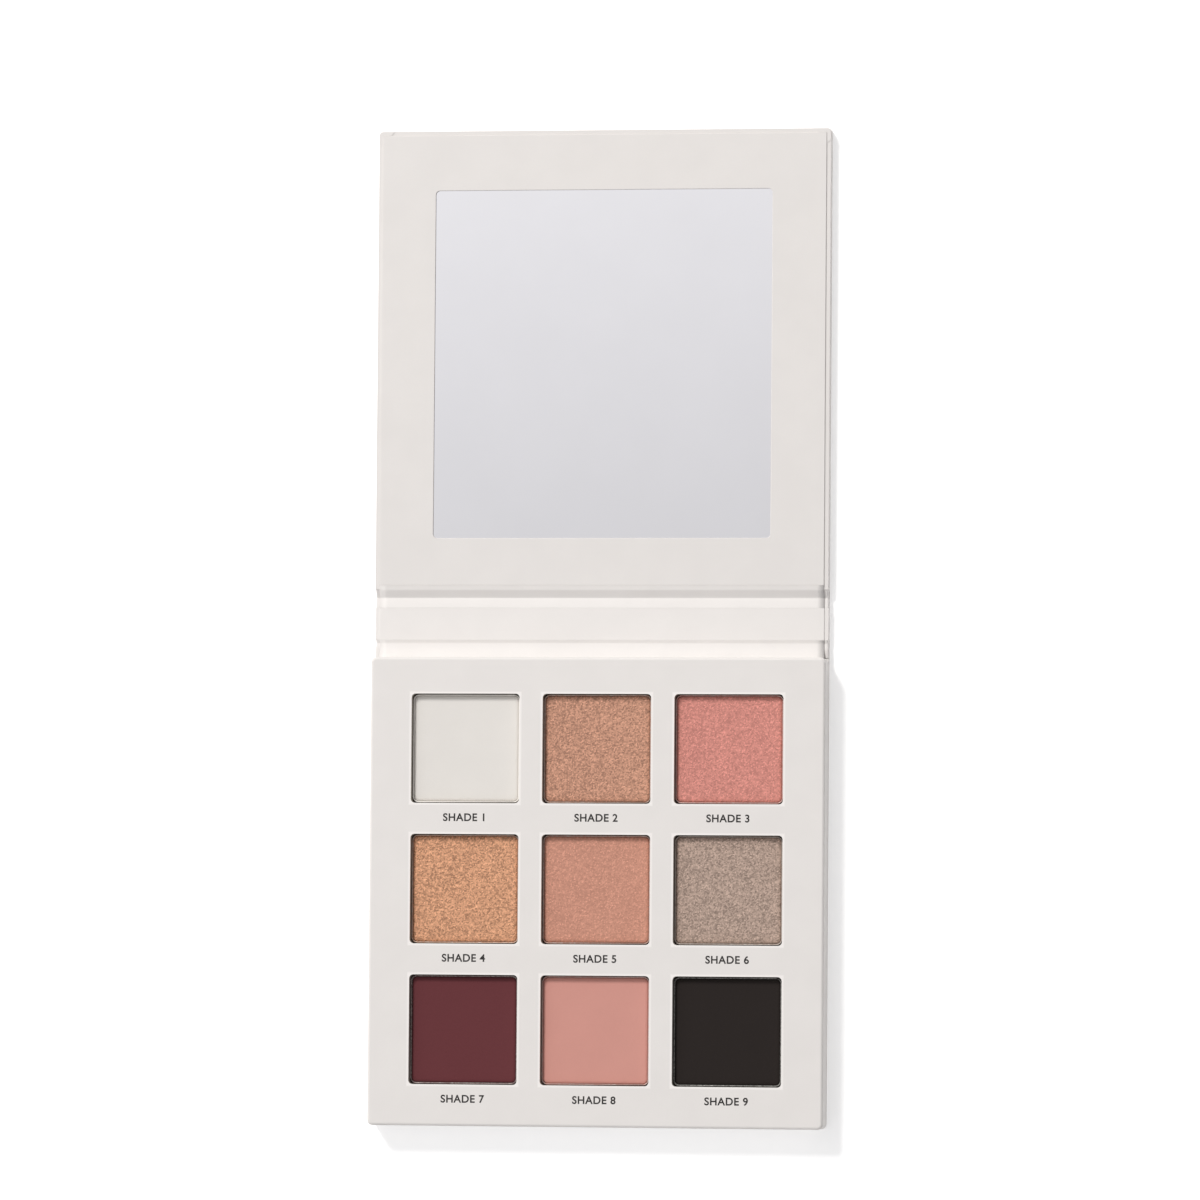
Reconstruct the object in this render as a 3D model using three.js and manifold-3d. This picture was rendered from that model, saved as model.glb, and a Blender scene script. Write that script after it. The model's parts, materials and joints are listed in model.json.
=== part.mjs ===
// Eyeshadow palette: a paper-covered board case that opens like a book. A tray with nine pans of
// pressed powder stands on the base, and a mirror is framed in the lid. The spine between them
// folds at a crease on each side. Drawn opened out flat, in millimetres, +Z up, +Y towards the lid.
import * as THREE from 'three';
import { mergeVertices } from 'three/addons/utils/BufferGeometryUtils.js';
import ManifoldModule from 'manifold-3d';

const wasm = await ManifoldModule();
wasm.setup();

// Sheet stock
const PAPER = 0.25;
const BOARD = 1.7;
const PANEL = BOARD + 2 * PAPER;
const LID_BOARD = 1.5;
const FRAME_BOARD = 1.1;
const LID_PANEL = LID_BOARD + FRAME_BOARD + 2 * PAPER;
const LINER = 0.3;

// Whole case
const CASE_W = 114;
const TRAY_L = 116.4;
const TRAY_TOP = 8.4;
const LID_TOP = LID_PANEL + LINER;
const CLOSED_GAP = 0.2;
const CREASE_TO_BLOCK = 2.5;
const CREASE_GAP = 0.02;
const LID_SETBACK = 1.5;
const TURN_IN = 12;
const BASE_CORNER_R = 1.3;
const LID_CORNER_R = 0.9;

// Lines along Y, measured from the front of the base
const BASE_CREASE = TRAY_L + CREASE_TO_BLOCK;
const LID_CREASE = BASE_CREASE + TRAY_TOP + LID_TOP + CLOSED_GAP;
const LID_NEAR = LID_CREASE + CREASE_TO_BLOCK;
const LID_FAR = LID_CREASE + BASE_CREASE - LID_SETBACK;
const MIDDLE = LID_FAR / 2;

// Spine board and the lining papers
const SPINE_RELIEF = 2;
const SPINE_NEAR = BASE_CREASE + SPINE_RELIEF;
const SPINE_FAR = LID_CREASE - SPINE_RELIEF;
const LINING = 0.2;
const LINING_INSET = 1.1;
const LINING_W = CASE_W - 2 * LINING_INSET;
const GROOVE_Z = 0.5;
const SHOULDER = 0.2;
const TRAY_FOOT_Z = 3.2;

// Tray
const COVER = 0.3;
const WELL_FLOOR = PANEL + 1;
const GRID_SPLIT = 5.6;
const GRID_TOP = TRAY_TOP - COVER;
const WINDOW = 27.2;
const WINDOW_R = 1;
const PITCH_X = 33;
const PITCH_Y = 34.9;
const FRONT_ROW_Y = 23.9;

// Pans
const PAN = 26.8;
const PAN_R = 1.4;
const PAN_H = 3;
const TIN = 0.3;
const PAD_R = 8;
const PAD_H = 0.5;
const PAN_Z = WELL_FLOOR + PAD_H;
const POWDER_DROP = 1.8;
const POWDER_GAP = 0.05;

// Lid frame and mirror
const LID_BOARD_TOP = PAPER + LID_BOARD;
const MIRROR_WINDOW_W = 84.8;
const MIRROR_WINDOW_L = 87;
const MIRROR_Y = 189.8;
const MIRROR_LAP = 2;
const MIRROR_W = MIRROR_WINDOW_W + 2 * MIRROR_LAP;
const MIRROR_L = MIRROR_WINDOW_L + 2 * MIRROR_LAP;
const MIRROR_T = 1.2;
const TAPE_T = 0.1;
const TAPE_INSET = 3;
const POCKET_GAP = 0.3;

// Closing magnets in the tray, and the steel discs in the lid that they meet when it shuts
const DISC_R = 2.5;
const DISC_X = 30;
const MAGNET_Y = 6;
const STEEL_Y = LID_CREASE + BASE_CREASE - MAGNET_Y;

const CORNER_STEPS = 2;
const DISC_STEPS = 24;

const POWDERS = [
  { name: 'powder_1_white', color: 0xe4e0dc, roughness: 0.6 },
  { name: 'powder_2_bronze', color: 0xbe8e77, roughness: 0.5 },
  { name: 'powder_3_coral', color: 0xcd897e, roughness: 0.5 },
  { name: 'powder_4_gold', color: 0xca9675, roughness: 0.5 },
  { name: 'powder_5_rose', color: 0xc58e7a, roughness: 0.55 },
  { name: 'powder_6_taupe', color: 0xab9588, roughness: 0.5 },
  { name: 'powder_7_plum', color: 0x68363a, roughness: 0.9 },
  { name: 'powder_8_pink', color: 0xcf958a, roughness: 0.9 },
  { name: 'powder_9_black', color: 0x2c2624, roughness: 0.9 },
];

const material = (color, roughness, metalness = 0) =>
  new THREE.MeshStandardMaterial({ color, roughness, metalness });
const paper = () => material(0xe9e5e1, 0.7);
const greyboard = () => material(0x9a9488, 0.95);
const tape = () => material(0xf0efe8, 0.8);
const tin = () => material(0xc8c8c8, 0.3, 1);
const magnetMetal = () => material(0xb0aca4, 0.25, 1);
const steel = () => material(0xa8a8aa, 0.35, 1);
const silveredGlass = () => material(0xe6e8eb, 0.02, 1);

// Centres of the nine wells, in reading order from the row beside the spine.
const wellCentres = [2, 1, 0].flatMap((row) =>
  [-1, 0, 1].map((column) => [column * PITCH_X, FRONT_ROW_Y + row * PITCH_Y]));

// A closed path round a w by l rectangle about (x, y), its corners rounded to r.
function rectangle(path, w, l, r, x, y) {
  const a = w / 2 - r;
  const b = l / 2 - r;
  [[a, b], [-a, b], [-a, -b], [a, -b]].forEach(([dx, dy], i) => {
    if (r > 0) path.absarc(x + dx, y + dy, r, i * Math.PI / 2, (i + 1) * Math.PI / 2);
    else if (i === 0) path.moveTo(x + dx, y + dy);
    else path.lineTo(x + dx, y + dy);
  });
  path.closePath();
  return path;
}

const rectangleHole = (w, l, r, x, y) => rectangle(new THREE.Path(), w, l, r, x, y);
const discHole = (r, x, y) =>
  new THREE.Path(new THREE.EllipseCurve(x, y, r, r).getPoints(DISC_STEPS).slice(1));
const wellHoles = () => wellCentres.map(([x, y]) => rectangleHole(WINDOW, WINDOW, WINDOW_R, x, y));

function extrude(shape, depth) {
  return new THREE.ExtrudeGeometry(shape, { depth, bevelEnabled: false, curveSegments: CORNER_STEPS });
}

// A flat plate of width w, centred on x, between y0 and y1 and between z0 and z1.
function plate(w, [y0, y1], [z0, z1], r = 0, holes = []) {
  const shape = rectangle(new THREE.Shape(), w, y1 - y0, r, 0, (y0 + y1) / 2);
  shape.holes.push(...holes);
  return extrude(shape, z1 - z0).translate(0, 0, z0);
}

// A plate of width w, centred on x, from an end panel's outer edge in to innerY, its outer corners
// rounded to r.
function panelPlate(w, outerY, innerY, [z0, z1], r) {
  const depth = Math.abs(innerY - outerY);
  const shape = new THREE.Shape();
  shape.moveTo(w / 2, depth);
  shape.lineTo(-w / 2, depth);
  shape.absarc(r - w / 2, r, r, Math.PI, 1.5 * Math.PI);
  shape.absarc(w / 2 - r, r, r, 1.5 * Math.PI, 2 * Math.PI);
  shape.closePath();
  const geometry = extrude(shape, z1 - z0);
  if (innerY < outerY) geometry.rotateZ(Math.PI);
  return geometry.translate(0, outerY, z0);
}

// A square plate of side w about the origin.
const squarePlate = (w, z, r) => plate(w, [-w / 2, w / 2], z, r);

// A sheet of width w, centred on x, whose section across the creases is the loop of (y, z) points.
function section(w, points) {
  const shape = new THREE.Shape(points.map(([y, z]) => new THREE.Vector2(y, z)));
  return extrude(shape, w).rotateX(Math.PI / 2).rotateZ(Math.PI / 2).translate(-w / 2, 0, 0);
}

function disc(r, [z0, z1]) {
  const height = z1 - z0;
  return new THREE.CylinderGeometry(r, r, height, DISC_STEPS)
    .rotateX(Math.PI / 2)
    .translate(0, 0, z0 + height / 2);
}

function solid(geometry) {
  geometry.deleteAttribute('normal');
  geometry.deleteAttribute('uv');
  const merged = mergeVertices(geometry);
  return new wasm.Manifold(new wasm.Mesh({
    numProp: 3,
    vertProperties: merged.getAttribute('position').array,
    triVerts: Uint32Array.from(merged.index.array),
  }));
}

function surface(body) {
  const { vertProperties, triVerts } = body.getMesh();
  const geometry = new THREE.BufferGeometry();
  geometry.setAttribute('position', new THREE.BufferAttribute(vertProperties, 3));
  geometry.setIndex(new THREE.BufferAttribute(triVerts, 1));
  geometry.computeVertexNormals();
  return geometry;
}

const cut = (geometry, ...tools) =>
  surface(tools.reduce((body, tool) => body.subtract(solid(tool)), solid(geometry)));

function piece(name, geometry, look, [x, y, z] = [0, 0, 0]) {
  const mesh = new THREE.Mesh(geometry, look);
  mesh.name = name;
  mesh.position.set(x, y, z);
  return mesh;
}

// Covering paper of an end panel: it runs under the board, up the board's three outer edges and over
// them as turn-ins. On the fourth side it carries on to the crease, mitred so that it can fold there.
function panelWrap(outerY, boardY, creaseY, top, r) {
  const out = Math.sign(outerY - creaseY);
  const past = boardY - out;
  const turned = outerY - out * TURN_IN;
  const edge = creaseY + out * CREASE_GAP;
  const sheet = [[turned, 0], [edge, 0], [edge + out * PAPER, PAPER], [turned, PAPER]];
  const shell = solid(panelPlate(CASE_W, outerY, boardY, [0, top], r));
  const inside = [PAPER, top - PAPER];
  const cavity = solid(panelPlate(CASE_W - 2 * PAPER, outerY - out * PAPER, past, inside, r - PAPER));
  const mouthY = [Math.min(turned, past), Math.max(turned, past)];
  const mouth = solid(plate(CASE_W - 2 * TURN_IN, mouthY, [PAPER, top + 1]));
  return surface(shell.subtract(cavity).subtract(mouth).add(solid(section(CASE_W, sheet))));
}

// Covering paper of the spine, mitred at both creases and turned in over the spine board's ends.
function spineWrap() {
  const near = BASE_CREASE + CREASE_GAP;
  const far = LID_CREASE - CREASE_GAP;
  const sheet = [[near, 0], [far, 0], [far - PAPER, PAPER], [near + PAPER, PAPER]];
  const past = [SPINE_NEAR - 1, SPINE_FAR + 1];
  const cavity = plate(CASE_W - 2 * PAPER, past, [PAPER, PANEL - PAPER]);
  const mouth = plate(CASE_W - 2 * TURN_IN, past, [PAPER, PANEL + 1]);
  const shell = solid(plate(CASE_W, [SPINE_NEAR, SPINE_FAR], [0, PANEL]));
  return surface(shell.subtract(solid(cavity)).subtract(solid(mouth)).add(solid(section(CASE_W, sheet))));
}

function endBoard(outerY, innerY, z, r) {
  const inward = Math.sign(innerY - outerY) * PAPER;
  return panelPlate(CASE_W - 2 * PAPER, outerY + inward, innerY, z, r - PAPER);
}

// Lining paper over one crease: from its edge on the block, by the given points of its upper side,
// through the groove and up to the spine.
function hingePaper(upper, creaseY, spineY) {
  const spineZ = PANEL + LINING;
  const edgeY = spineY + Math.sign(creaseY - spineY) * CREASE_GAP;
  const top = [...upper, [creaseY, GROOVE_Z + LINING], [edgeY, spineZ]];
  const under = top.map(([y, z]) => [y, z - LINING]).reverse();
  return section(LINING_W, [...top, ...under]);
}

function trayCover() {
  const outside = plate(CASE_W, [0, TRAY_L], [PANEL, TRAY_TOP], BASE_CORNER_R, wellHoles());
  const inside = traySheet([PANEL - 1, GRID_TOP], []);
  return cut(outside, inside);
}

const traySheet = (z, holes) =>
  plate(CASE_W - 2 * COVER, [COVER, TRAY_L - COVER], z, BASE_CORNER_R - COVER, holes);

function pan() {
  const inside = squarePlate(PAN - 2 * TIN, [TIN, PAN_H + 1], PAN_R - TIN);
  return cut(squarePlate(PAN, [0, PAN_H], PAN_R), inside);
}

function powderCake() {
  const side = PAN - 2 * TIN - 2 * POWDER_GAP;
  return squarePlate(side, [0, TRAY_TOP - POWDER_DROP - PAN_Z - TIN], PAN_R - TIN);
}

// One well's contents: the pad it is stuck down with, the pan and its powder.
function filledWell([x, y], i) {
  const { name, color, roughness } = POWDERS[i];
  return [
    piece(`pan_pad_${i + 1}`, disc(PAD_R, [0, PAD_H]), tape(), [x, y, WELL_FLOOR]),
    piece(`pan_${i + 1}`, pan(), tin(), [x, y, PAN_Z]),
    piece(name, powderCake(), material(color, roughness), [x, y, PAN_Z + TIN]),
  ];
}

function discPair(names, look, y, z) {
  return names.map((name, i) => piece(name, disc(DISC_R, z), look(), [(2 * i - 1) * DISC_X, y, 0]));
}

const discPockets = (y) => [-DISC_X, DISC_X].map((x) => discHole(DISC_R + POCKET_GAP, x, y));

function base() {
  const upperGrid = [GRID_SPLIT, GRID_TOP];
  const upperHoles = [...wellHoles(), ...discPockets(MAGNET_Y)];
  const foot = [[TRAY_L + CREASE_GAP, TRAY_FOOT_Z]];
  return [
    piece('base_outer_wrap', panelWrap(0, TRAY_L, BASE_CREASE, PANEL, BASE_CORNER_R), paper()),
    piece('base_board', endBoard(0, TRAY_L, [PAPER, PANEL - PAPER], BASE_CORNER_R), greyboard()),
    piece('tray_floor_card', traySheet([PANEL, WELL_FLOOR], []), greyboard()),
    piece('tray_grid_lower', traySheet([WELL_FLOOR, GRID_SPLIT], wellHoles()), greyboard()),
    piece('tray_grid_upper', traySheet(upperGrid, upperHoles), greyboard()),
    piece('tray_cover', trayCover(), paper()),
    piece('base_hinge_paper', hingePaper(foot, BASE_CREASE, SPINE_NEAR), paper()),
    ...discPair(['base_magnet_left', 'base_magnet_right'], magnetMetal, MAGNET_Y, upperGrid),
    ...wellCentres.flatMap(filledWell),
  ];
}

function spine() {
  const board = plate(CASE_W - 2 * PAPER, [SPINE_NEAR, SPINE_FAR], [PAPER, PANEL - PAPER]);
  const lining = plate(LINING_W, [SPINE_NEAR, SPINE_FAR], [PANEL, PANEL + LINING]);
  return [
    piece('spine_outer_wrap', spineWrap(), paper()),
    piece('spine_board', board, greyboard()),
    piece('spine_liner', lining, paper()),
  ];
}

function mirror() {
  const tapeShape = plate(
    MIRROR_W - 2 * TAPE_INSET, [TAPE_INSET - MIRROR_L / 2, MIRROR_L / 2 - TAPE_INSET], [0, TAPE_T]);
  const glass = plate(MIRROR_W, [-MIRROR_L / 2, MIRROR_L / 2], [0, MIRROR_T]);
  return [
    piece('mirror_tape', tapeShape, tape(), [0, MIRROR_Y, LID_BOARD_TOP]),
    piece('mirror', glass, silveredGlass(), [0, MIRROR_Y, LID_BOARD_TOP + TAPE_T]),
  ];
}

function lid() {
  const linerY = [LID_NEAR + LINING_INSET, LID_FAR - LINING_INSET];
  const frameZ = [LID_BOARD_TOP, LID_PANEL - PAPER];
  const board = endBoard(LID_FAR, LID_NEAR, [PAPER, LID_BOARD_TOP], LID_CORNER_R);
  const glassHole = plate(
    MIRROR_W + 2 * POCKET_GAP,
    [MIRROR_Y - MIRROR_L / 2 - POCKET_GAP, MIRROR_Y + MIRROR_L / 2 + POCKET_GAP], [0, LID_TOP]);
  const pockets = [-DISC_X, DISC_X].map((x) =>
    disc(DISC_R + POCKET_GAP, [0, LID_TOP]).translate(x, STEEL_Y, 0));
  const frame = cut(endBoard(LID_FAR, LID_NEAR, frameZ, LID_CORNER_R), glassHole, ...pockets);
  const windowHole = rectangleHole(MIRROR_WINDOW_W, MIRROR_WINDOW_L, WINDOW_R, 0, MIRROR_Y);
  const liner = plate(LINING_W, linerY, [LID_PANEL, LID_TOP], 0, [windowHole]);
  const shoulder = [[linerY[0] - CREASE_GAP, LID_PANEL + LINING], [LID_NEAR - SHOULDER, LID_PANEL + LINING]];
  return [
    piece('lid_outer_wrap', panelWrap(LID_FAR, LID_NEAR, LID_CREASE, LID_PANEL, LID_CORNER_R), paper()),
    piece('lid_board', board, greyboard()),
    piece('lid_frame_board', frame, greyboard()),
    piece('lid_liner', liner, paper()),
    piece('lid_hinge_paper', hingePaper(shoulder, LID_CREASE, SPINE_FAR), paper()),
    ...discPair(['lid_steel_disc_left', 'lid_steel_disc_right'], steel, STEEL_Y, frameZ),
    ...mirror(),
  ];
}

const palette = new THREE.Group();
palette.name = 'eyeshadow_palette';
palette.position.y = -MIDDLE;
palette.add(...base(), ...spine(), ...lid());

export default palette;
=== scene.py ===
"""Eyeshadow palette opened out flat: paper-covered case, pans of pressed powder, framed mirror."""

import json
import math

import bmesh
import bpy
from mathutils import Matrix, Vector, noise


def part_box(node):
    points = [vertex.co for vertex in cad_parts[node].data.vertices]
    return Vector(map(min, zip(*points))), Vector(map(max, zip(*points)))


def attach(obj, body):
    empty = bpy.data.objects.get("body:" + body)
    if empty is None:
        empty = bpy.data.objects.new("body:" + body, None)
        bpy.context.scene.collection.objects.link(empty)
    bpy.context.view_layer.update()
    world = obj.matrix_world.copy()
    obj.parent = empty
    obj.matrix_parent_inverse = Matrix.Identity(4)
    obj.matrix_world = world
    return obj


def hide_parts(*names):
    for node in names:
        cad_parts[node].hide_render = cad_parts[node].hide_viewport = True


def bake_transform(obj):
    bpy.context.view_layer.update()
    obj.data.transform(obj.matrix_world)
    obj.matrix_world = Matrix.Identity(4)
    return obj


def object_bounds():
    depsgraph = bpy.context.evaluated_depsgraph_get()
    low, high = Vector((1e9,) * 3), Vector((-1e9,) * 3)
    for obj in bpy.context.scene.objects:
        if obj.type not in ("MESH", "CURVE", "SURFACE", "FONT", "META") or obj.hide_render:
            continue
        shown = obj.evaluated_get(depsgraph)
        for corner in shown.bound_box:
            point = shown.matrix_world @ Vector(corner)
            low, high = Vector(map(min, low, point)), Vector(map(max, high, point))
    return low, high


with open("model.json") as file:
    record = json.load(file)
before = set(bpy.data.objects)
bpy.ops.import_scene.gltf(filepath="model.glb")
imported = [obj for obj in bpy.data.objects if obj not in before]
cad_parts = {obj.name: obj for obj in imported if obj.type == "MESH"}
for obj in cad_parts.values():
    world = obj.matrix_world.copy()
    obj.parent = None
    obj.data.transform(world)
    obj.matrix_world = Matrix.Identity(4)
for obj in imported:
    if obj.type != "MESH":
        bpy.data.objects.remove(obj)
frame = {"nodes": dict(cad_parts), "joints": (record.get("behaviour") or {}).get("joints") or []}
cad_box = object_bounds()
MM = 0.001

# Display colours of one paper: the spine's copy is painted lighter and the lid's darker than the
# wrap, as painted light and shade for how each panel takes the light
WRAP_RGB = (231, 227, 224)
SPINE_PAINTED_LIGHTER_RGB = (235, 231, 228)
LID_PAINTED_DARKER_RGB = (228, 224, 221)

# Display colour, finish and contrast of the grain, in reading order from the row beside the spine
POWDERS = {
    "powder_1_white": ((226, 222, 217), "satin", 0.02),
    "powder_2_bronze": ((190, 142, 119), "shimmer", 0.34),
    "powder_3_coral": ((205, 137, 126), "shimmer", 0.2),
    "powder_4_gold": ((202, 150, 117), "shimmer", 0.4),
    "powder_5_rose": ((197, 142, 122), "shimmer", 0.13),
    "powder_6_taupe": ((171, 149, 136), "shimmer", 0.37),
    "powder_7_plum": ((102, 52, 56), "matte", 0.06),
    "powder_8_pink": ((207, 149, 138), "matte", 0.04),
    "powder_9_black": ((40, 34, 32), "matte", 0.08),
}
PANS = [f"pan_{number}" for number in range(1, len(POWDERS) + 1)]
PALE = 200  # a powder whose every display value is above this hides its tin
THIN_FILM, THICK_FILM = (0.25, 0.85), (0.85, 1.0)  # cover of powder on a pan's rim
RELIEF = {"shimmer": 0.03, "satin": 0.008, "matte": 0.012}  # height of a cake's grain, mm

LINING = 0.2 * MM  # lining paper over the creases
COCKLE = 0.05 * MM  # how far the lining lifts along its length
WRAP = 0.15 * MM  # the wrap's own paper, where it is folded
FOLD_LAP = 2.4 * MM  # width of the turn-in at the end of a crease
FOLD_ROUND = 0.3 * MM  # its rounding over the edge
FOLD_STEP = 0.08 * MM  # how far a fold steps in beyond its crease
FOLD_BEND = 0.6 * MM  # length over which it bends and steps in
TUCK_SINK, TUCK_RISE = 0.02 * MM, 0.14 * MM  # a corner's foot below the rim, and its thickness
BASE_DIP, LID_DIP = 2.15 * MM, 2.0 * MM  # height of the lining at the bottom of each groove
WINDOW_GAP = 0.2 * MM  # from a pan's side to the edge of its window
OUTLINE_CORNER = 1.4 * MM  # outer corners of the pans and of the tray

CAKE_CORNER = 1.2 * MM
CAKE_STEPS = 110  # squares along a cake's side
CAKE_WORN = 0.2 * MM  # drop of a cake's surface at its rim
CAKE_SWELL = 0.05 * MM  # slow unevenness of the surface
WEAR_PITCH, GRAIN_PITCH, SWELL_PITCH = 900, 1700, 130  # noise steps per metre on a cake

LABEL_HEIGHT, LABEL_DROP = 2.65 * MM, 4.2 * MM  # size of the text, and its middle below a cake
LABEL_WEIGHT, LABEL_DEPTH = 0.065 * MM, 0.004 * MM  # widening of the strokes, and half thickness
LABEL_SPACING = 1.08
LABEL_SINK = 0.001 * MM

WELD = 0.002 * MM  # points closer than this are one
FLAT, SHARP, STEEP = math.radians(0.5), math.radians(35), math.radians(60)  # angles of edges

# ---------------------------------------------------------------- materials


def set_range(node, start, end, low, high):
    """Fills in a Map Range node."""
    for key, value in (("From Min", start), ("From Max", end), ("To Min", low), ("To Max", high)):
        node.inputs[key].default_value = value


class Look:
    """A node material under construction, in object coordinates measured in metres."""

    def __init__(self, name):
        self.material = bpy.data.materials.new(name)
        self.material.use_nodes = True
        self.tree = self.material.node_tree
        self.shader = self.tree.nodes["Principled BSDF"]
        self.place = self.add("ShaderNodeTexCoord").outputs["Object"]

    def add(self, kind, **settings):
        node = self.tree.nodes.new(kind)
        for key, value in settings.items():
            setattr(node, key, value)
        return node

    def link(self, source, target):
        self.tree.links.new(source, target)

    def noise(self, size, detail=2.0, roughness=0.5):
        """Noise whose blobs are about `size` metres across."""
        node = self.add("ShaderNodeTexNoise")
        node.inputs["Scale"].default_value = 1 / size
        node.inputs["Detail"].default_value = detail
        node.inputs["Roughness"].default_value = roughness
        self.link(self.place, node.inputs["Vector"])
        return node.outputs["Fac"]

    def cells(self, size):
        node = self.add("ShaderNodeTexVoronoi", feature="F1")
        node.inputs["Scale"].default_value = 1 / size
        self.link(self.place, node.inputs["Vector"])
        return node

    def ramp(self, source, stops):
        """Colour ramp from (position, colour) stops."""
        node = self.add("ShaderNodeValToRGB")
        elements = node.color_ramp.elements
        while len(elements) < len(stops):
            elements.new(0.5)
        for element, (position, colour) in zip(elements, stops):
            element.position = position
            element.color = (*colour, 1)
        self.link(source, node.inputs["Fac"])
        return node.outputs["Color"]

    def mix(self, factor, a, b, blend="MIX"):
        node = self.add("ShaderNodeMix", data_type="RGBA", blend_type=blend)
        for socket, value in ((node.inputs[0], factor), (node.inputs[6], a), (node.inputs[7], b)):
            if isinstance(value, bpy.types.NodeSocket):
                self.link(value, socket)
            elif isinstance(value, (int, float)):
                socket.default_value = value
            else:
                socket.default_value = (*value, 1)
        return node.outputs[2]

    def span(self, source, low, high, start=0.0, end=1.0):
        """Goes from low to high as the source goes from start to end."""
        node = self.add("ShaderNodeMapRange")
        set_range(node, start, end, low, high)
        self.link(source, node.inputs["Value"])
        return node.outputs["Result"]

    def math(self, operation, a, b=0.0):
        node = self.add("ShaderNodeMath", operation=operation)
        for socket, value in zip(node.inputs, (a, b)):
            if isinstance(value, bpy.types.NodeSocket):
                self.link(value, socket)
            else:
                socket.default_value = value
        return node.outputs[0]

    def bump(self, height, distance, strength, over=None):
        node = self.add("ShaderNodeBump")
        node.inputs["Strength"].default_value = strength
        node.inputs["Distance"].default_value = distance
        self.link(height, node.inputs["Height"])
        if over is not None:
            self.link(over, node.inputs["Normal"])
        return node.outputs["Normal"]

    def set(self, **values):
        for key, value in values.items():
            socket = self.shader.inputs[key.replace("_", " ")]
            if isinstance(value, bpy.types.NodeSocket):
                self.link(value, socket)
            else:
                socket.default_value = value


def linear(*rgb):
    """Linear light from display values of 0 to 255."""
    return tuple(v / 255 / 12.92 if v <= 10 else ((v / 255 + 0.055) / 1.055) ** 2.4 for v in rgb)


def shade(colour, factor):
    """The colour made darker or lighter."""
    return tuple(c * factor for c in colour)


def beyond_windows(look, nodes, gap):
    """Distance in the plane from the nearest of a 3 by 3 grid of square windows.

    Each window reaches beyond its node by the gap.
    """
    boxes = [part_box(node) for node in nodes]
    half = (boxes[0][1].x - boxes[0][0].x) / 2 + gap
    split = look.add("ShaderNodeSeparateXYZ")
    look.link(look.place, split.inputs[0])
    reaches = []
    for axis in range(2):
        middles = sorted((lo[axis] + hi[axis]) / 2 for lo, hi in boxes)
        middle, pitch = middles[len(middles) // 2], (middles[-1] - middles[0]) / 2
        along = look.math("SUBTRACT", split.outputs[axis], middle)
        cell = look.math("ROUND", look.math("DIVIDE", along, pitch))
        cell = look.math("MAXIMUM", look.math("MINIMUM", cell, 1), -1)
        offset = look.math("SUBTRACT", along, look.math("MULTIPLY", cell, pitch))
        reaches.append(look.math("SUBTRACT", look.math("ABSOLUTE", offset), half))
    return look.math("MAXIMUM", *reaches)


def paper_look(name, colour, windows=()):
    """Matt-laminated paper: fine fibres, faint clouds, a soft sheen, and a painted highlight round
    its windows.
    """
    look = Look(name)
    clouds = look.noise(9 * MM, 3)
    fibres = look.noise(0.22 * MM, 4, 0.65)
    tone = look.mix(look.span(clouds, 0, 1, 0.35, 0.65), shade(colour, 0.985), shade(colour, 1.012))
    tone = look.mix(look.span(fibres, 0, 0.5, 0.3, 0.7), tone, shade(colour, 0.965))
    if windows:
        beyond = beyond_windows(look, windows, WINDOW_GAP)
        # A thin ring of paper painted lighter just beyond each window: a painted highlight along
        # the window edges
        tone = look.mix(look.span(beyond, 0.85, 0, 0.3 * MM, 0.65 * MM), tone, shade(colour, 1.16))
    rough = look.span(fibres, 0.5, 0.62)
    normal = look.bump(fibres, 0.02 * MM, 0.35)
    normal = look.bump(look.noise(2.4 * MM, 2), 0.03 * MM, 0.35, over=normal)
    look.set(Base_Color=tone, Roughness=rough, Normal=normal)
    look.shader.inputs["Specular IOR Level"].default_value = 0.35
    return look.material


def board_look(name, colour):
    """Raw die-cut greyboard: pulp flecks and a layered edge."""
    look = Look(name)
    flecks = look.noise(0.35 * MM, 5, 0.7)
    layers = look.add("ShaderNodeTexWave", bands_direction="Z")
    layers.inputs["Scale"].default_value = 900
    layers.inputs["Distortion"].default_value = 2.5
    look.link(look.place, layers.inputs["Vector"])
    pulp = [(0.25, shade(colour, 0.7)), (0.5, colour), (0.8, shade(colour, 1.25))]
    tone = look.ramp(flecks, pulp)
    tone = look.mix(look.span(layers.outputs["Fac"], 0, 0.25), tone, shade(colour, 0.8))
    look.set(
        Base_Color=tone,
        Roughness=look.span(flecks, 0.85, 1.0),
        Normal=look.bump(flecks, 0.06 * MM, 0.6),
    )
    return look.material


def metal_look(name, colour, roughness):
    """Plain metal with a fine, uneven grain."""
    look = Look(name)
    streaks = look.noise(0.4 * MM, 4, 0.6)
    look.set(
        Base_Color=look.ramp(streaks, [(0.3, shade(colour, 0.85)), (0.7, colour)]),
        Metallic=1.0,
        Roughness=look.span(streaks, roughness * 0.8, roughness * 1.3),
        Normal=look.bump(streaks, 0.01 * MM, 0.4),
    )
    return look.material


def mirror_look():
    """Silvered glass, with a trace of handling that only shows in a raking light."""
    look = Look("mirror_glass")
    smudge = look.noise(16 * MM, 3, 0.55)
    look.set(
        Base_Color=look.ramp(smudge, [(0.3, linear(250, 249, 252)), (0.7, linear(252, 251, 254))]),
        Metallic=1.0,
        Roughness=look.span(smudge, 0.012, 0.03, 0.4, 0.7),
    )
    return look.material


def ink_look():
    """Printed ink, a little uneven."""
    look = Look("print_ink")
    wear = look.noise(0.3 * MM, 3)
    look.set(
        Base_Color=look.ramp(wear, [(0.35, linear(22, 19, 18)), (0.75, linear(42, 38, 36))]),
        Roughness=look.span(wear, 0.5, 0.7),
    )
    return look.material


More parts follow.
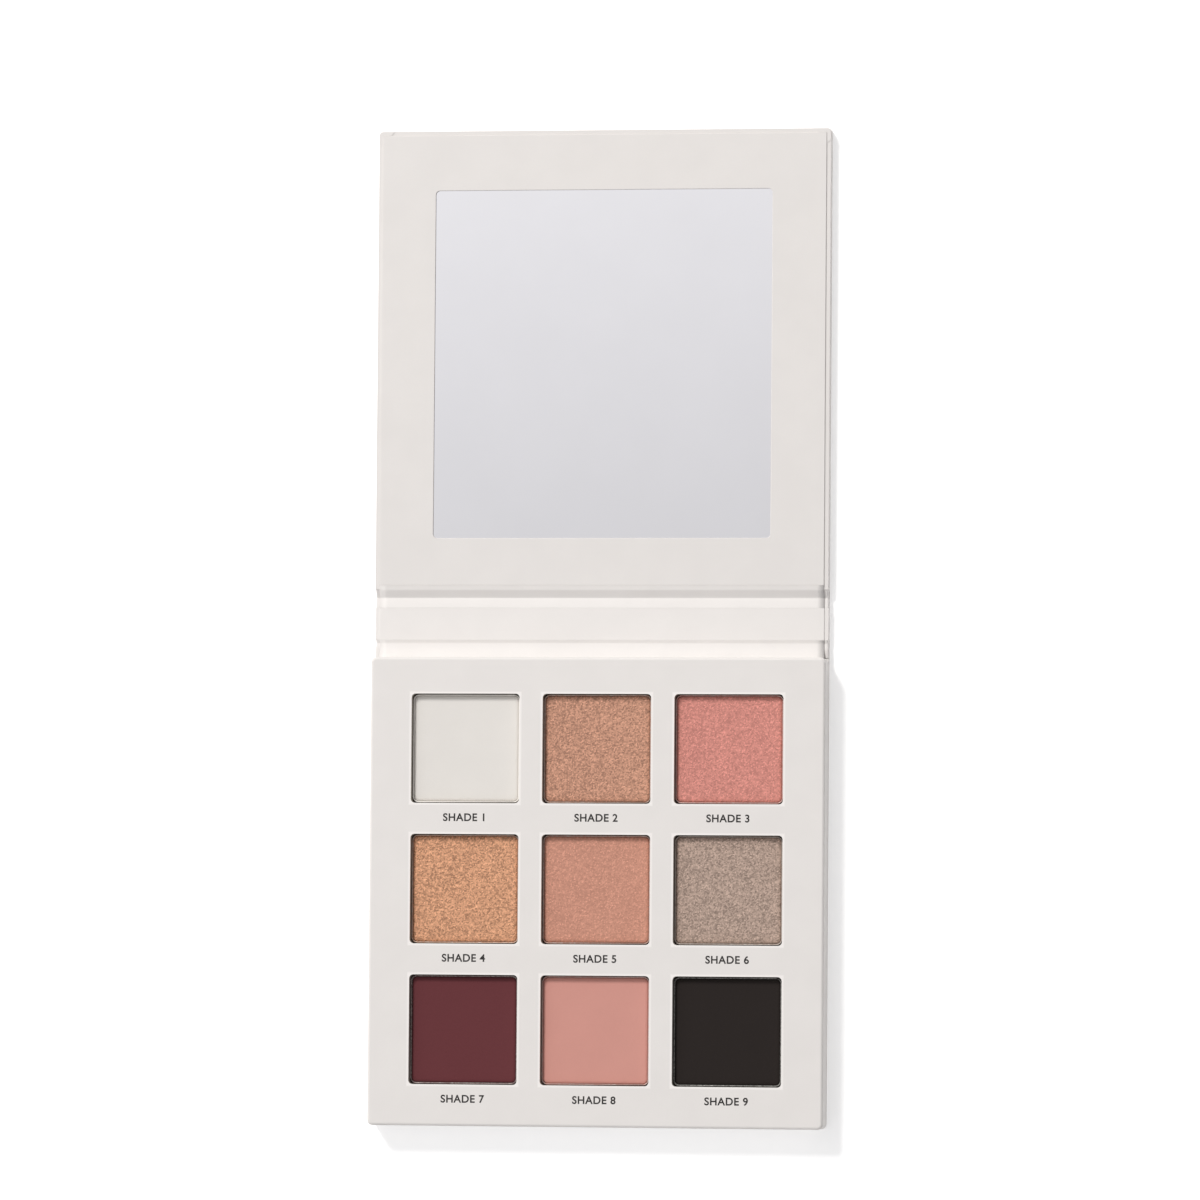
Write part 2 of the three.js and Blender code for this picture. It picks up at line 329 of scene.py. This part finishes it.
def powder_look(name, colour, kind, contrast):
    """Pressed pigment. Shimmer powders are a sand of pearl flakes; the glinting ones are painted
    brighter, a painted glint, and also shine for real with more metal and less roughness.
    """
    look = Look(name)
    low, high, slight = 1 - contrast, 1 + contrast, contrast / 4
    grain = look.noise(0.25 * MM, 3, 0.7)
    clumps = look.noise(0.45 * MM, 3, 0.6)
    drift = look.noise(7 * MM, 2)
    tone = look.ramp(clumps, [(0.3, shade(colour, 1 - slight)), (0.7, shade(colour, 1 + slight))])
    tone = look.mix(look.span(grain, 0, 0.6, 0.4, 0.75), tone, shade(colour, low))
    tone = look.mix(look.span(drift, 0, 0.5, 0.35, 0.7), tone, shade(colour, 1.03))
    normal = look.bump(grain, 0.05 * MM, 0.5 if kind == "shimmer" else 0.3)
    if kind == "shimmer":
        flakes = look.cells(0.32 * MM)
        spark = look.add("ShaderNodeSeparateColor")
        look.link(flakes.outputs["Color"], spark.inputs["Color"])
        greys = [(0.0, (low,) * 3), (0.5, (1, 1, 1)), (1.0, (high,) * 3)]
        sand = look.ramp(spark.outputs["Red"], greys)
        tone = look.mix(1.0, tone, sand, "MULTIPLY")
        glint = look.span(spark.outputs["Green"], 0, 1, 0.75, 0.95)
        # Glinting flakes painted brighter in colour: a painted glint, on top of their real shine
        tone = look.mix(look.span(glint, 0, 0.65), tone, shade(colour, 1.35 + contrast))
        normal = look.bump(flakes.outputs["Distance"], 0.07 * MM, 0.6, over=normal)
        look.set(Metallic=look.span(glint, 0.05, 0.3), Roughness=look.span(glint, 0.62, 0.36))
    elif kind == "satin":
        look.set(Roughness=look.span(grain, 0.5, 0.62))
    else:
        look.set(Roughness=look.span(grain, 0.82, 0.95))
    look.set(Base_Color=tone, Normal=normal)
    look.shader.inputs["Specular IOR Level"].default_value = 0.2
    return look.material


def dusted_tin_look(name, colour, film):
    """A pan's tin, with a film of its own powder left round the rim by the press."""
    look = Look(name)
    dust = look.noise(0.5 * MM, 4, 0.7)
    cover = look.span(dust, *film, 0.3, 0.62)
    tone = look.mix(cover, linear(196, 193, 188), shade(colour, 0.85))
    look.set(
        Base_Color=tone,
        Metallic=look.span(cover, 0.9, 0.1),
        Roughness=look.span(cover, 0.3, 0.75),
        Normal=look.bump(dust, 0.03 * MM, 0.5),
    )
    return look.material


paper = paper_look("covering_paper", linear(*WRAP_RGB))
tray_paper_painted_highlight = paper_look("covering_paper_tray", linear(*WRAP_RGB), PANS)
# The spine's and the lid's papers are the wrap's paper, painted lighter and darker as painted light
# and shade
spine_paper_painted_lighter = paper_look("covering_paper_spine_painted_lighter", linear(*SPINE_PAINTED_LIGHTER_RGB))
lid_paper_painted_darker = paper_look("covering_paper_lid_painted_darker", linear(*LID_PAINTED_DARKER_RGB))
board = board_look("greyboard", linear(200, 194, 184))
tape = paper_look("adhesive_tape", linear(226, 222, 205))
nickel = metal_look("nickel_plate", linear(196, 190, 180), 0.22)
steel = metal_look("plain_steel", linear(176, 176, 180), 0.35)
mirror = mirror_look()
ink = ink_look()

# ---------------------------------------------------------------- shapes


def linked(name, mesh, material):
    """An object of the scene with this mesh and material."""
    piece = bpy.data.objects.new(name, mesh)
    bpy.context.scene.collection.objects.link(piece)
    mesh.materials.clear()
    mesh.materials.append(material)
    return piece


def near_outline(node, nearest, farthest):
    """Test for edges on a node's top, between two distances in from its rounded outline."""
    lo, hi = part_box(node)
    middle, half = (lo + hi) / 2, (hi - lo) / 2

    def depth(v):
        dx = abs(v.co.x - middle.x) - half.x + OUTLINE_CORNER
        dy = abs(v.co.y - middle.y) - half.y + OUTLINE_CORNER
        return OUTLINE_CORNER - math.hypot(max(dx, 0), max(dy, 0)) - min(max(dx, dy), 0)

    def on_rim(edge):
        return all(v.co.z > hi.z - 0.01 * MM and nearest < depth(v) < farthest for v in edge.verts)

    return on_rim


def softened(node, body, material, radius, rim=0.0, rim_zone=()):
    """Stands in for a node with its own shape, sharp edges rounded, those of its rim more so."""
    mesh = frame["nodes"][node].data.copy()
    bm = bmesh.new()
    bm.from_mesh(mesh)
    bmesh.ops.remove_doubles(bm, verts=bm.verts, dist=WELD)
    bmesh.ops.dissolve_limit(bm, angle_limit=FLAT, verts=bm.verts, edges=bm.edges)
    if rim:
        on_rim = near_outline(node, *rim_zone)
        edges = [e for e in bm.edges if on_rim(e) and e.calc_face_angle(0) > STEEP]
        bmesh.ops.bevel(bm, geom=edges, offset=rim, segments=6, profile=0.5, affect="EDGES")
    for face in bm.faces:
        face.smooth = True
    bm.to_mesh(mesh)
    bm.free()
    piece = linked(f"{node}_piece", mesh, material)
    bevel = piece.modifiers.new("edges", "BEVEL")
    bevel.limit_method = "ANGLE"
    bevel.angle_limit = SHARP
    bevel.width = radius
    bevel.segments = 3
    piece.modifiers.new("normals", "WEIGHTED_NORMAL").keep_sharp = True
    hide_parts(node)
    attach(piece, body)


def rounded_square(u, v, half, corner):
    """Maps a point of the square from -1 to 1 to a square with rounded corners."""
    x, y = u * half, v * half
    inner = half - corner
    dx, dy = abs(x) - inner, abs(y) - inner
    if dx > 0 and dy > 0:
        reach = max(dx, dy) / math.hypot(dx, dy)
        x = math.copysign(inner + dx * reach, x)
        y = math.copysign(inner + dy * reach, y)
    return x, y


def powder_cake(node, seed, relief):
    """A pressed cake: level, a little worn down at its rim, with an uneven grain."""
    lo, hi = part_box(node)
    cx, cy, half = (lo.x + hi.x) / 2, (lo.y + hi.y) / 2, (hi.x - lo.x) / 2
    shift = Vector((seed * 13.7, seed * 5.3, seed * 2.9))
    bm = bmesh.new()
    rows = []
    for j in range(CAKE_STEPS + 1):
        row = []
        for i in range(CAKE_STEPS + 1):
            u, v = 2 * i / CAKE_STEPS - 1, 2 * j / CAKE_STEPS - 1
            x, y = rounded_square(u, v, half, CAKE_CORNER)
            rim = (1 - max(abs(u), abs(v))) * half
            wobble = noise.noise(Vector((x, y, 0)) * WEAR_PITCH + shift)
            worn = math.exp(-(max(0, rim) / ((0.3 + 0.16 * wobble) * MM)) ** 2)
            grain = noise.fractal(Vector((x, y, 0)) * GRAIN_PITCH + shift, 0.8, 2.1, 3)
            swell = noise.noise(Vector((x, y, 0)) * SWELL_PITCH + shift)
            z = hi.z - worn * CAKE_WORN + grain * relief * MM + swell * CAKE_SWELL
            row.append(bm.verts.new((cx + x, cy + y, z)))
        rows.append(row)
    for j in range(CAKE_STEPS):
        for i in range(CAKE_STEPS):
            bm.faces.new((rows[j][i], rows[j][i + 1], rows[j + 1][i + 1], rows[j + 1][i]))
    edge = rows[0] + [r[-1] for r in rows[1:]] + rows[-1][-2::-1] + [r[0] for r in rows[-2:0:-1]]
    floor = [bm.verts.new((v.co.x, v.co.y, lo.z)) for v in edge]
    for k in range(len(edge)):
        n = (k + 1) % len(edge)
        bm.faces.new((edge[k], floor[k], floor[n], edge[n]))
    bm.faces.new(floor[::-1])
    bmesh.ops.recalc_face_normals(bm, faces=bm.faces)
    for face in bm.faces:
        face.smooth = len(face.verts) == 4
    mesh = bpy.data.meshes.new(node)
    bm.to_mesh(mesh)
    bm.free()
    return mesh


def smooth_curve(points, steps=8):
    """Catmull-Rom curve through (y, z) points."""
    ends = [points[0]] + points + [points[-1]]
    curve = []
    for a, b, c, d in zip(ends, ends[1:], ends[2:], ends[3:]):
        for k in range(steps):
            t = k / steps
            curve.append(tuple(
                0.5 * (2 * q + (r - p) * t
                       + (2 * p - 5 * q + 4 * r - s) * t * t
                       + (3 * q - p - 3 * r + s) * t**3)
                for p, q, r, s in zip(a, b, c, d)
            ))
    curve.append(points[-1])
    return curve


def sheet_between(name, rows, thickness, material):
    """A sheet of paper through crosswise rows of points, running from one panel over the crease to
    the next.
    """
    bm = bmesh.new()
    grid = [[bm.verts.new(point) for point in row] for row in rows]
    for near, far in zip(grid, grid[1:]):
        for i in range(len(near) - 1):
            bm.faces.new((near[i], near[i + 1], far[i + 1], far[i]))
    bmesh.ops.recalc_face_normals(bm, faces=bm.faces)
    if sum(face.normal.z for face in bm.faces) < 0:
        bmesh.ops.reverse_faces(bm, faces=bm.faces)
    for face in bm.faces:
        face.smooth = True
    mesh = bpy.data.meshes.new(name)
    bm.to_mesh(mesh)
    bm.free()
    piece = linked(name, mesh, material)
    solid = piece.modifiers.new("thickness", "SOLIDIFY")
    solid.thickness = thickness
    solid.offset = -1
    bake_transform(piece)
    return piece


def spaced(a, b, count):
    """Evenly spaced values from a to b, both included."""
    return [a + (b - a) * i / count for i in range(count + 1)]


def hinge_lining(node, profile, material):
    """The lining paper over one crease, faintly cockled along its length."""
    lo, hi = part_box(node)
    curve = smooth_curve(profile)
    rows = []
    for k, (y, z) in enumerate(curve):
        free = math.sin(math.pi * k / (len(curve) - 1))
        rows.append([
            (x, y, z + COCKLE * free * noise.noise(Vector((x * 140, y * 300, 3.1))))
            for x in spaced(lo.x, hi.x, 60)
        ])
    piece = sheet_between(f"{node}_piece", rows, LINING, material)
    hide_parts(node)


def crease_fold(name, side, profile, material, crease):
    """The wrap's turn-in at one end of a crease: under the lining, then over the edge and down."""
    rows = []
    for y, z in smooth_curve(profile):
        # The part beyond the crease folds in behind the part before it
        half = cad_box[1][0] - FOLD_STEP * min(1, max(0, (y - crease) / FOLD_BEND))
        top = max(z - LINING - 0.02 * MM, FOLD_ROUND)
        drop = min(FOLD_ROUND, top * 0.8)
        across = [(half - FOLD_LAP, top), (half - 0.5 * MM, top)]
        for k in range(1, 6):
            turn = math.radians(90 * k / 5)
            x = half - 0.32 * MM + FOLD_ROUND * math.sin(turn)
            across.append((x, top - drop * (1 - math.cos(turn))))
        across.append((half - 0.02 * MM, 0.04 * MM))
        rows.append([(side * x, y, h) for x, h in across])
    sheet_between(name, rows, WRAP, material)


def corner_tuck(name, side, outer_y, body, material):
    """The folded corner of the wrap's turn-in, lying on the rim beside the lining."""
    half = cad_box[1][0]
    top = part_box("lid_outer_wrap")[1].z
    outline = [
        (half - 1.06 * MM, outer_y - 3.7 * MM), (half - 0.1 * MM, outer_y - 3.0 * MM),
        (half - 0.06 * MM, outer_y - 1.0 * MM), (half - 0.34 * MM, outer_y - 0.36 * MM),
        (half - 1.0 * MM, outer_y - 0.06 * MM), (half - 4.0 * MM, outer_y - 0.06 * MM),
        (half - 3.1 * MM, outer_y - 1.06 * MM), (half - 1.06 * MM, outer_y - 1.06 * MM),
    ]
    bm = bmesh.new()
    under = [bm.verts.new((side * x, y, top - TUCK_SINK)) for x, y in outline]
    over = [bm.verts.new((side * x, y, top - TUCK_SINK + TUCK_RISE)) for x, y in outline]
    bm.faces.new(under)
    bm.faces.new(over[::-1])
    for k in range(len(outline)):
        n = (k + 1) % len(outline)
        bm.faces.new((under[n], under[k], over[k], over[n]))
    bmesh.ops.recalc_face_normals(bm, faces=bm.faces)
    mesh = bpy.data.meshes.new(name)
    bm.to_mesh(mesh)
    bm.free()
    piece = linked(name, mesh, material)
    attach(piece, body)


def label(text, x, y, z):
    """A line of flat printed text, centred on a point."""
    curve = bpy.data.curves.new(f"label_{text}", "FONT")
    curve.body = text
    curve.size = LABEL_HEIGHT
    curve.align_x, curve.align_y = "CENTER", "CENTER"
    curve.space_character = LABEL_SPACING
    curve.offset = LABEL_WEIGHT
    curve.extrude = LABEL_DEPTH
    piece = bpy.data.objects.new("label_text", curve)
    bpy.context.scene.collection.objects.link(piece)
    bpy.context.view_layer.update()
    depsgraph = bpy.context.evaluated_depsgraph_get()
    mesh = bpy.data.meshes.new_from_object(piece.evaluated_get(depsgraph))
    bpy.data.objects.remove(piece)
    mesh.transform(Matrix.Translation((x, y, z)))
    return mesh


# ---------------------------------------------------------------- the case

softened("base_outer_wrap", "base", paper, 0.1 * MM)
softened("spine_outer_wrap", "spine", spine_paper_painted_lighter, 0.22 * MM)
softened("lid_outer_wrap", "lid", lid_paper_painted_darker, 0.22 * MM)
softened("tray_cover", "base", tray_paper_painted_highlight, 0.1 * MM, rim=0.75 * MM, rim_zone=(-0.1 * MM, 1.4 * MM))
softened("lid_liner", "lid", lid_paper_painted_darker, 0.24 * MM)
softened("spine_liner", "spine", spine_paper_painted_lighter, 0.08 * MM)
for pan, (rgb, _, _) in zip(PANS, POWDERS.values()):
    if min(rgb) > PALE:
        # Pale powder hides the tin. Its rim is painted lighter than the powder itself, a painted
        # highlight for the rim catching more light than the paper round it
        tin = dusted_tin_look(f"{pan}_look", shade(linear(*rgb), 1.4), THICK_FILM)
    else:
        tin = dusted_tin_look(f"{pan}_look", linear(*rgb), THIN_FILM)
    softened(pan, "base", tin, 0.05 * MM, rim=0.23 * MM, rim_zone=(0.2 * MM, 0.4 * MM))

# The hidden layers and the mirror are shown as the CAD has them
for node, piece in frame["nodes"].items():
    material = None
    if node.startswith("tray_") or node.endswith("_board"):
        material = board
    elif node.startswith("pan_pad") or node.endswith("tape"):
        material = tape
    elif "magnet" in node:
        material = nickel
    elif "steel" in node:
        material = steel
    elif node == "mirror":
        material = mirror
    if material:
        piece.data.materials.clear()
        piece.data.materials.append(material)

for number, (node, (rgb, kind, contrast)) in enumerate(POWDERS.items(), 1):
    powder = powder_look(f"{node}_look", linear(*rgb), kind, contrast)
    cake = linked(f"{node}_cake", powder_cake(node, number, RELIEF[kind]), powder)
    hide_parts(node)
    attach(cake, "base")

# Papers over the two creases: sections as (y, z) points, from the tray side to the lid side
tray_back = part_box("base_hinge_paper")[0].y
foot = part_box("base_hinge_paper")[1].z
spine_near, spine_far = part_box("spine_liner")[0].y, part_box("spine_liner")[1].y
spine_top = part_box("spine_liner")[1].z
liner_near, liner_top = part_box("lid_liner")[0].y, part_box("lid_liner")[1].z
base_rim, lid_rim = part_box("base_outer_wrap")[1].z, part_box("lid_outer_wrap")[1].z
panel_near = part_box("lid_board")[0].y
base_crease, lid_crease = (joint["pos_m"][1] for joint in frame["joints"])

base_section = [
    (tray_back, foot - 0.1 * MM),
    (tray_back + 0.5 * MM, foot - 0.2 * MM),
    (base_crease - 0.2 * MM, BASE_DIP + 0.26 * MM),
    (spine_near - 0.9 * MM, BASE_DIP),
    (spine_near - 0.4 * MM, BASE_DIP + 0.1 * MM),
    (spine_near, spine_top),
]
lid_section = [
    (spine_far, spine_top),
    (spine_far + 0.5 * MM, spine_top - 0.07 * MM),
    (lid_crease + 0.1 * MM, LID_DIP + 0.06 * MM),
    (lid_crease + 0.45 * MM, LID_DIP),
    (lid_crease + 0.85 * MM, LID_DIP + 0.16 * MM),
    (panel_near - 0.25 * MM, lid_rim - 0.1 * MM),
    (panel_near + 0.15 * MM, lid_rim + 0.06 * MM),
    (liner_near - 0.3 * MM, liner_top - 0.09 * MM),
    (liner_near, liner_top),
]
hinge_lining("base_hinge_paper", base_section, spine_paper_painted_lighter)
hinge_lining("lid_hinge_paper", lid_section, spine_paper_painted_lighter)

# The wrap's folds at the ends of the creases follow the linings and end at the panels' rims
base_fold = [(tray_back + 0.1 * MM, base_rim + LINING)] + base_section[2:]
lid_fold = lid_section[:-2]
for side, end in ((-1, "left"), (1, "right")):
    crease_fold(f"base_crease_fold_{end}", side, base_fold, paper, base_crease)
    crease_fold(f"lid_crease_fold_{end}", side, lid_fold, paper, lid_crease)
    corner_tuck(f"lid_corner_tuck_{end}", side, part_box("lid_outer_wrap")[1].y, "lid", lid_paper_painted_darker)

# Generic shade numbers printed under the windows
tray_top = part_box("tray_cover")[1].z
for number, node in enumerate(POWDERS, 1):
    lo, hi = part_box(node)
    letters = label(
        f"SHADE {number}", (lo.x + hi.x) / 2, lo.y - LABEL_DROP, tray_top - LABEL_SINK)
    text = linked(f"shade_number_{number}", letters, ink)
    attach(text, "base")

# ---------------------------------------------------------------- studio

FLOOR_SIZE, FLOOR_DROP, FLOOR_GLOW = 6, 0.0002, 0.36
SKY_STRENGTH = 0.94
KEY_PLACE, KEY_SIZE, KEY_POWER = (-1.1, 1.8, 2.1), 0.7, 57

bpy.ops.mesh.primitive_plane_add(size=FLOOR_SIZE, location=(0, 0, -FLOOR_DROP))
floor = bpy.context.object
floor.name = "studio_floor"
floor_look = Look("studio_floor")
floor_look.set(
    Base_Color=(0.93, 0.93, 0.93, 1),
    Roughness=0.9,
    Emission_Color=(1, 1, 1, 1),
    Emission_Strength=FLOOR_GLOW,
)
floor.data.materials.append(floor_look.material)

world = bpy.data.worlds.new("studio")
bpy.context.scene.world = world
world.use_nodes = True
tree = world.node_tree
direction = tree.nodes.new("ShaderNodeTexCoord")
split = tree.nodes.new("ShaderNodeSeparateXYZ")
tree.links.new(direction.outputs["Generated"], split.inputs[0])


def sky_gradient(axis, kind, start, end, low, high):
    """Goes from low to high as the direction's share of an axis goes from start to end."""
    node = tree.nodes.new("ShaderNodeMapRange")
    node.interpolation_type = kind
    set_range(node, start, end, low, high)
    tree.links.new(split.outputs[axis], node.inputs["Value"])
    return node.outputs["Result"]


def combined(operation, a, b):
    """The sum or product of two levels."""
    node = tree.nodes.new("ShaderNodeMath")
    node.operation = operation
    tree.links.new(a, node.inputs[0])
    tree.links.new(b, node.inputs[1])
    return node.outputs[0]


# Brightest high up, on the left and behind the lid, with a second glow in front of the tray
behind = sky_gradient("Y", "SMOOTHSTEP", 0.01, 0.15, 0.64, 0.93)
in_front = sky_gradient("Y", "SMOOTHSTEP", -0.1, -0.6, 0, 0.4)
level = combined("ADD", behind, in_front)
level = combined("MULTIPLY", level, sky_gradient("X", "LINEAR", -0.4, 0.77, 1.24, 0.24))
level = combined("MULTIPLY", level, sky_gradient("Z", "LINEAR", 0, 0.95, 0.25, 1))
tint = tree.nodes.new("ShaderNodeMix")
tint.data_type = "RGBA"
tint.blend_type = "MULTIPLY"
tint.inputs[0].default_value = 1
tint.inputs[7].default_value = (0.995, 0.99, 1.0, 1)
tree.links.new(level, tint.inputs[6])
background = tree.nodes["Background"]
tree.links.new(tint.outputs[2], background.inputs["Color"])
background.inputs["Strength"].default_value = SKY_STRENGTH

# A soft, slightly warm light from the back left, aimed at the middle of the palette
key_data = bpy.data.lights.new("key", "AREA")
key_data.shape = "DISK"
key_data.size = KEY_SIZE
key_data.energy = KEY_POWER
key_data.color = (1, 0.985, 0.96)
key = bpy.data.objects.new("key", key_data)
key.location = KEY_PLACE
key.rotation_euler = (-Vector(KEY_PLACE)).to_track_quat("-Z", "Y").to_euler()
bpy.context.scene.collection.objects.link(key)

# Camera: a long lens almost straight above, a little to the right of it and towards the tray,
# as fitted to the corners of the case, the windows and the mirror in the photo
YAW, PITCH, ROLL = math.radians(8.5), math.radians(2.8), math.radians(0.446)
LENS_MM, SENSOR_MM, DISTANCE = 225, 36, 1.8688
target = Vector((-0.00067, 0.006855, 0))
back = Vector((math.sin(YAW) * math.cos(PITCH), -math.sin(PITCH), math.cos(YAW) * math.cos(PITCH)))
right = Vector((0, 1, 0)).cross(back).normalized()
up = back.cross(right)
turned_right = right * math.cos(ROLL) + up * math.sin(ROLL)
turned_up = up * math.cos(ROLL) - right * math.sin(ROLL)
camera_data = bpy.data.cameras.new("camera")
camera_data.sensor_width = SENSOR_MM
camera_data.lens = LENS_MM
camera_data.clip_end = 50
camera = bpy.data.objects.new("camera", camera_data)
bpy.context.scene.collection.objects.link(camera)
place = target + back * DISTANCE
camera.matrix_world = Matrix((
    (turned_right.x, turned_up.x, back.x, place.x),
    (turned_right.y, turned_up.y, back.y, place.y),
    (turned_right.z, turned_up.z, back.z, place.z),
    (0, 0, 0, 1),
))
bpy.context.scene.camera = camera
bpy.context.scene.view_settings.view_transform = "Standard"

bpy.context.view_layer.update()
